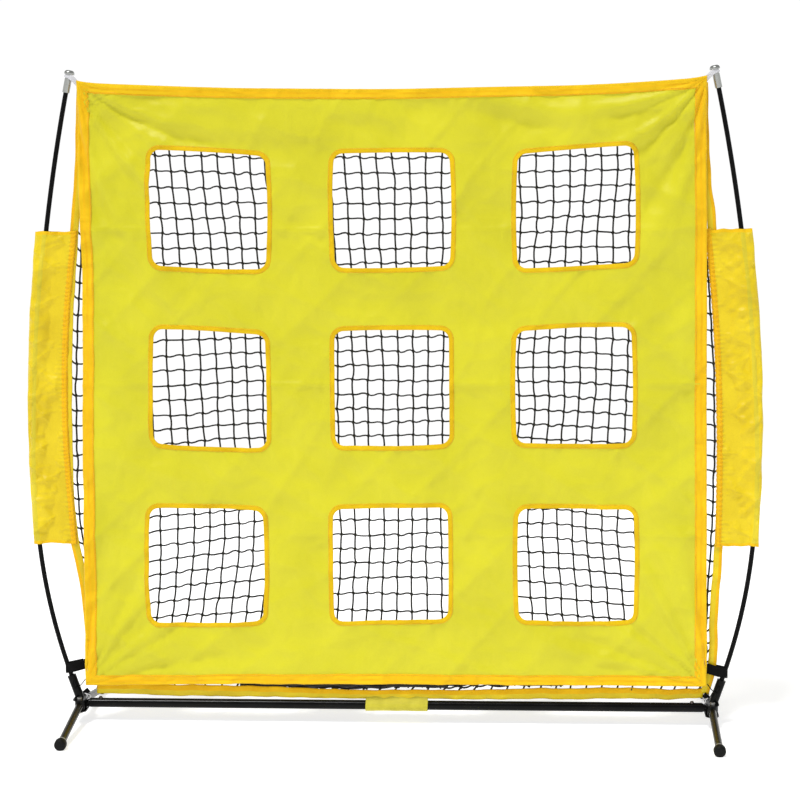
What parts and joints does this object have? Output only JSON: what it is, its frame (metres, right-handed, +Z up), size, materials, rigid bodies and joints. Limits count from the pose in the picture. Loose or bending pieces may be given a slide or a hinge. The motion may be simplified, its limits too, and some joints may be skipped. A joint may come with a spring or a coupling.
{
  "type": "pitching target net",
  "caption": "Free-standing bow-framed ball net with a cloth target panel, folding legs, leaning pole sockets and side sleeves.",
  "frame": {"origin": "on the floor below the middle of the base bar", "axes": "+X along the base bar to the pitcher's right, +Y away from the pitcher, +Z up"},
  "size_m": [2.146, 0.6648, 1.9256],
  "materials": {
    "black_steel": "gloss black powder coat",
    "black_plastic": "moulded, satin",
    "foot_rubber": "matt moulded rubber",
    "grey_plastic": "moulded, satin",
    "zinc_steel": "bright zinc",
    "button_steel": "bright steel",
    "black_fibreglass": "drawn fibreglass, gloss black",
    "aluminium": "bright turned aluminium",
    "elastic_cord": "braided elastic",
    "yellow_cloth": "plain-weave polyester, slight sheen",
    "amber_binding": "folded binding, stitched",
    "border_cloth": "plain-weave polyester with amber edges",
    "net_twine": "knotted polyethylene twine",
    "black_webbing": "woven webbing",
    "white_webbing": "woven webbing",
    "tab_cloth": "hook-and-loop cloth"
  },
  "bodies": {
    "frame": {"base_tube_left": "black_steel", "base_tube_right": "black_steel", "corner_hub_left": "black_steel", "corner_hub_right": "black_steel", "pole_socket_left": "black_steel", "pole_socket_right": "black_steel", "socket_bushings": "black_plastic", "base_coupler": "zinc_steel", "leg_pivot_bolts": "zinc_steel", "leg_pivot_nuts": "zinc_steel", "snap_spring_left": "zinc_steel", "snap_spring_right": "zinc_steel", "pole_lower_left": "black_fibreglass", "pole_lower_right": "black_fibreglass", "pole_middle_left": "black_fibreglass", "pole_middle_right": "black_fibreglass", "pole_upper_left": "black_fibreglass", "pole_upper_right": "black_fibreglass", "pole_ferrules": "aluminium", "pole_tip_left": "aluminium", "pole_tip_right": "aluminium", "shock_cord_left": "elastic_cord", "shock_cord_right": "elastic_cord", "corner_ties": "elastic_cord", "target_panel": "yellow_cloth", "side_sleeve_left": "yellow_cloth", "side_sleeve_right": "yellow_cloth", "panel_binding": "amber_binding", "window_bindings": "amber_binding", "net_border_top": "border_cloth", "net_border_bottom": "border_cloth", "net_border_left": "border_cloth", "net_border_right": "border_cloth", "net_back": "net_twine", "net_top": "net_twine", "net_bottom": "net_twine", "net_side_left": "net_twine", "net_side_right": "net_twine", "side_straps": "black_webbing", "corner_loops": "white_webbing", "base_tab": "tab_cloth"},
    "leg_front_left": {"leg_tube_front_left": "black_steel", "leg_knuckle_front_left": "black_plastic", "foot_cap_front_left": "foot_rubber", "foot_collar_front_left": "grey_plastic"},
    "leg_front_right": {"leg_tube_front_right": "black_steel", "leg_knuckle_front_right": "black_plastic", "foot_cap_front_right": "foot_rubber", "foot_collar_front_right": "grey_plastic"},
    "leg_rear_left": {"leg_tube_rear_left": "black_steel", "leg_knuckle_rear_left": "black_plastic", "foot_cap_rear_left": "foot_rubber", "foot_collar_rear_left": "grey_plastic"},
    "leg_rear_right": {"leg_tube_rear_right": "black_steel", "leg_knuckle_rear_right": "black_plastic", "foot_cap_rear_right": "foot_rubber", "foot_collar_rear_right": "grey_plastic"},
    "button_left": {"snap_button_left": "button_steel"},
    "button_right": {"snap_button_right": "button_steel"}
  },
  "joints": [
    {"name": "leg_front_left_fold", "type": "hinge", "parent": "frame", "child": "leg_front_left", "pos_m": [-0.934, -0.032, 0.056], "axis": [0, 0, 1], "range_deg": [0, 90]},
    {"name": "leg_front_right_fold", "type": "hinge", "parent": "frame", "child": "leg_front_right", "pos_m": [0.934, -0.032, 0.056], "axis": [0, 0, -1], "range_deg": [0, 90]},
    {"name": "leg_rear_left_fold", "type": "hinge", "parent": "frame", "child": "leg_rear_left", "pos_m": [-0.934, 0.032, 0.056], "axis": [0, 0, -1], "range_deg": [0, 90]},
    {"name": "leg_rear_right_fold", "type": "hinge", "parent": "frame", "child": "leg_rear_right", "pos_m": [0.934, 0.032, 0.056], "axis": [0, 0, 1], "range_deg": [0, 90]},
    {"name": "snap_button_left_press", "type": "slide", "parent": "frame", "child": "button_left", "axis": [0, 0, -1], "range_m": [0, 0.0072], "stiffness_N_per_m": 1500, "springref_m": -0.004, "deforming": ["snap_spring_left"]},
    {"name": "snap_button_right_press", "type": "slide", "parent": "frame", "child": "button_right", "axis": [0, 0, -1], "range_m": [0, 0.0072], "stiffness_N_per_m": 1500, "springref_m": -0.004, "deforming": ["snap_spring_right"]}
  ]
}
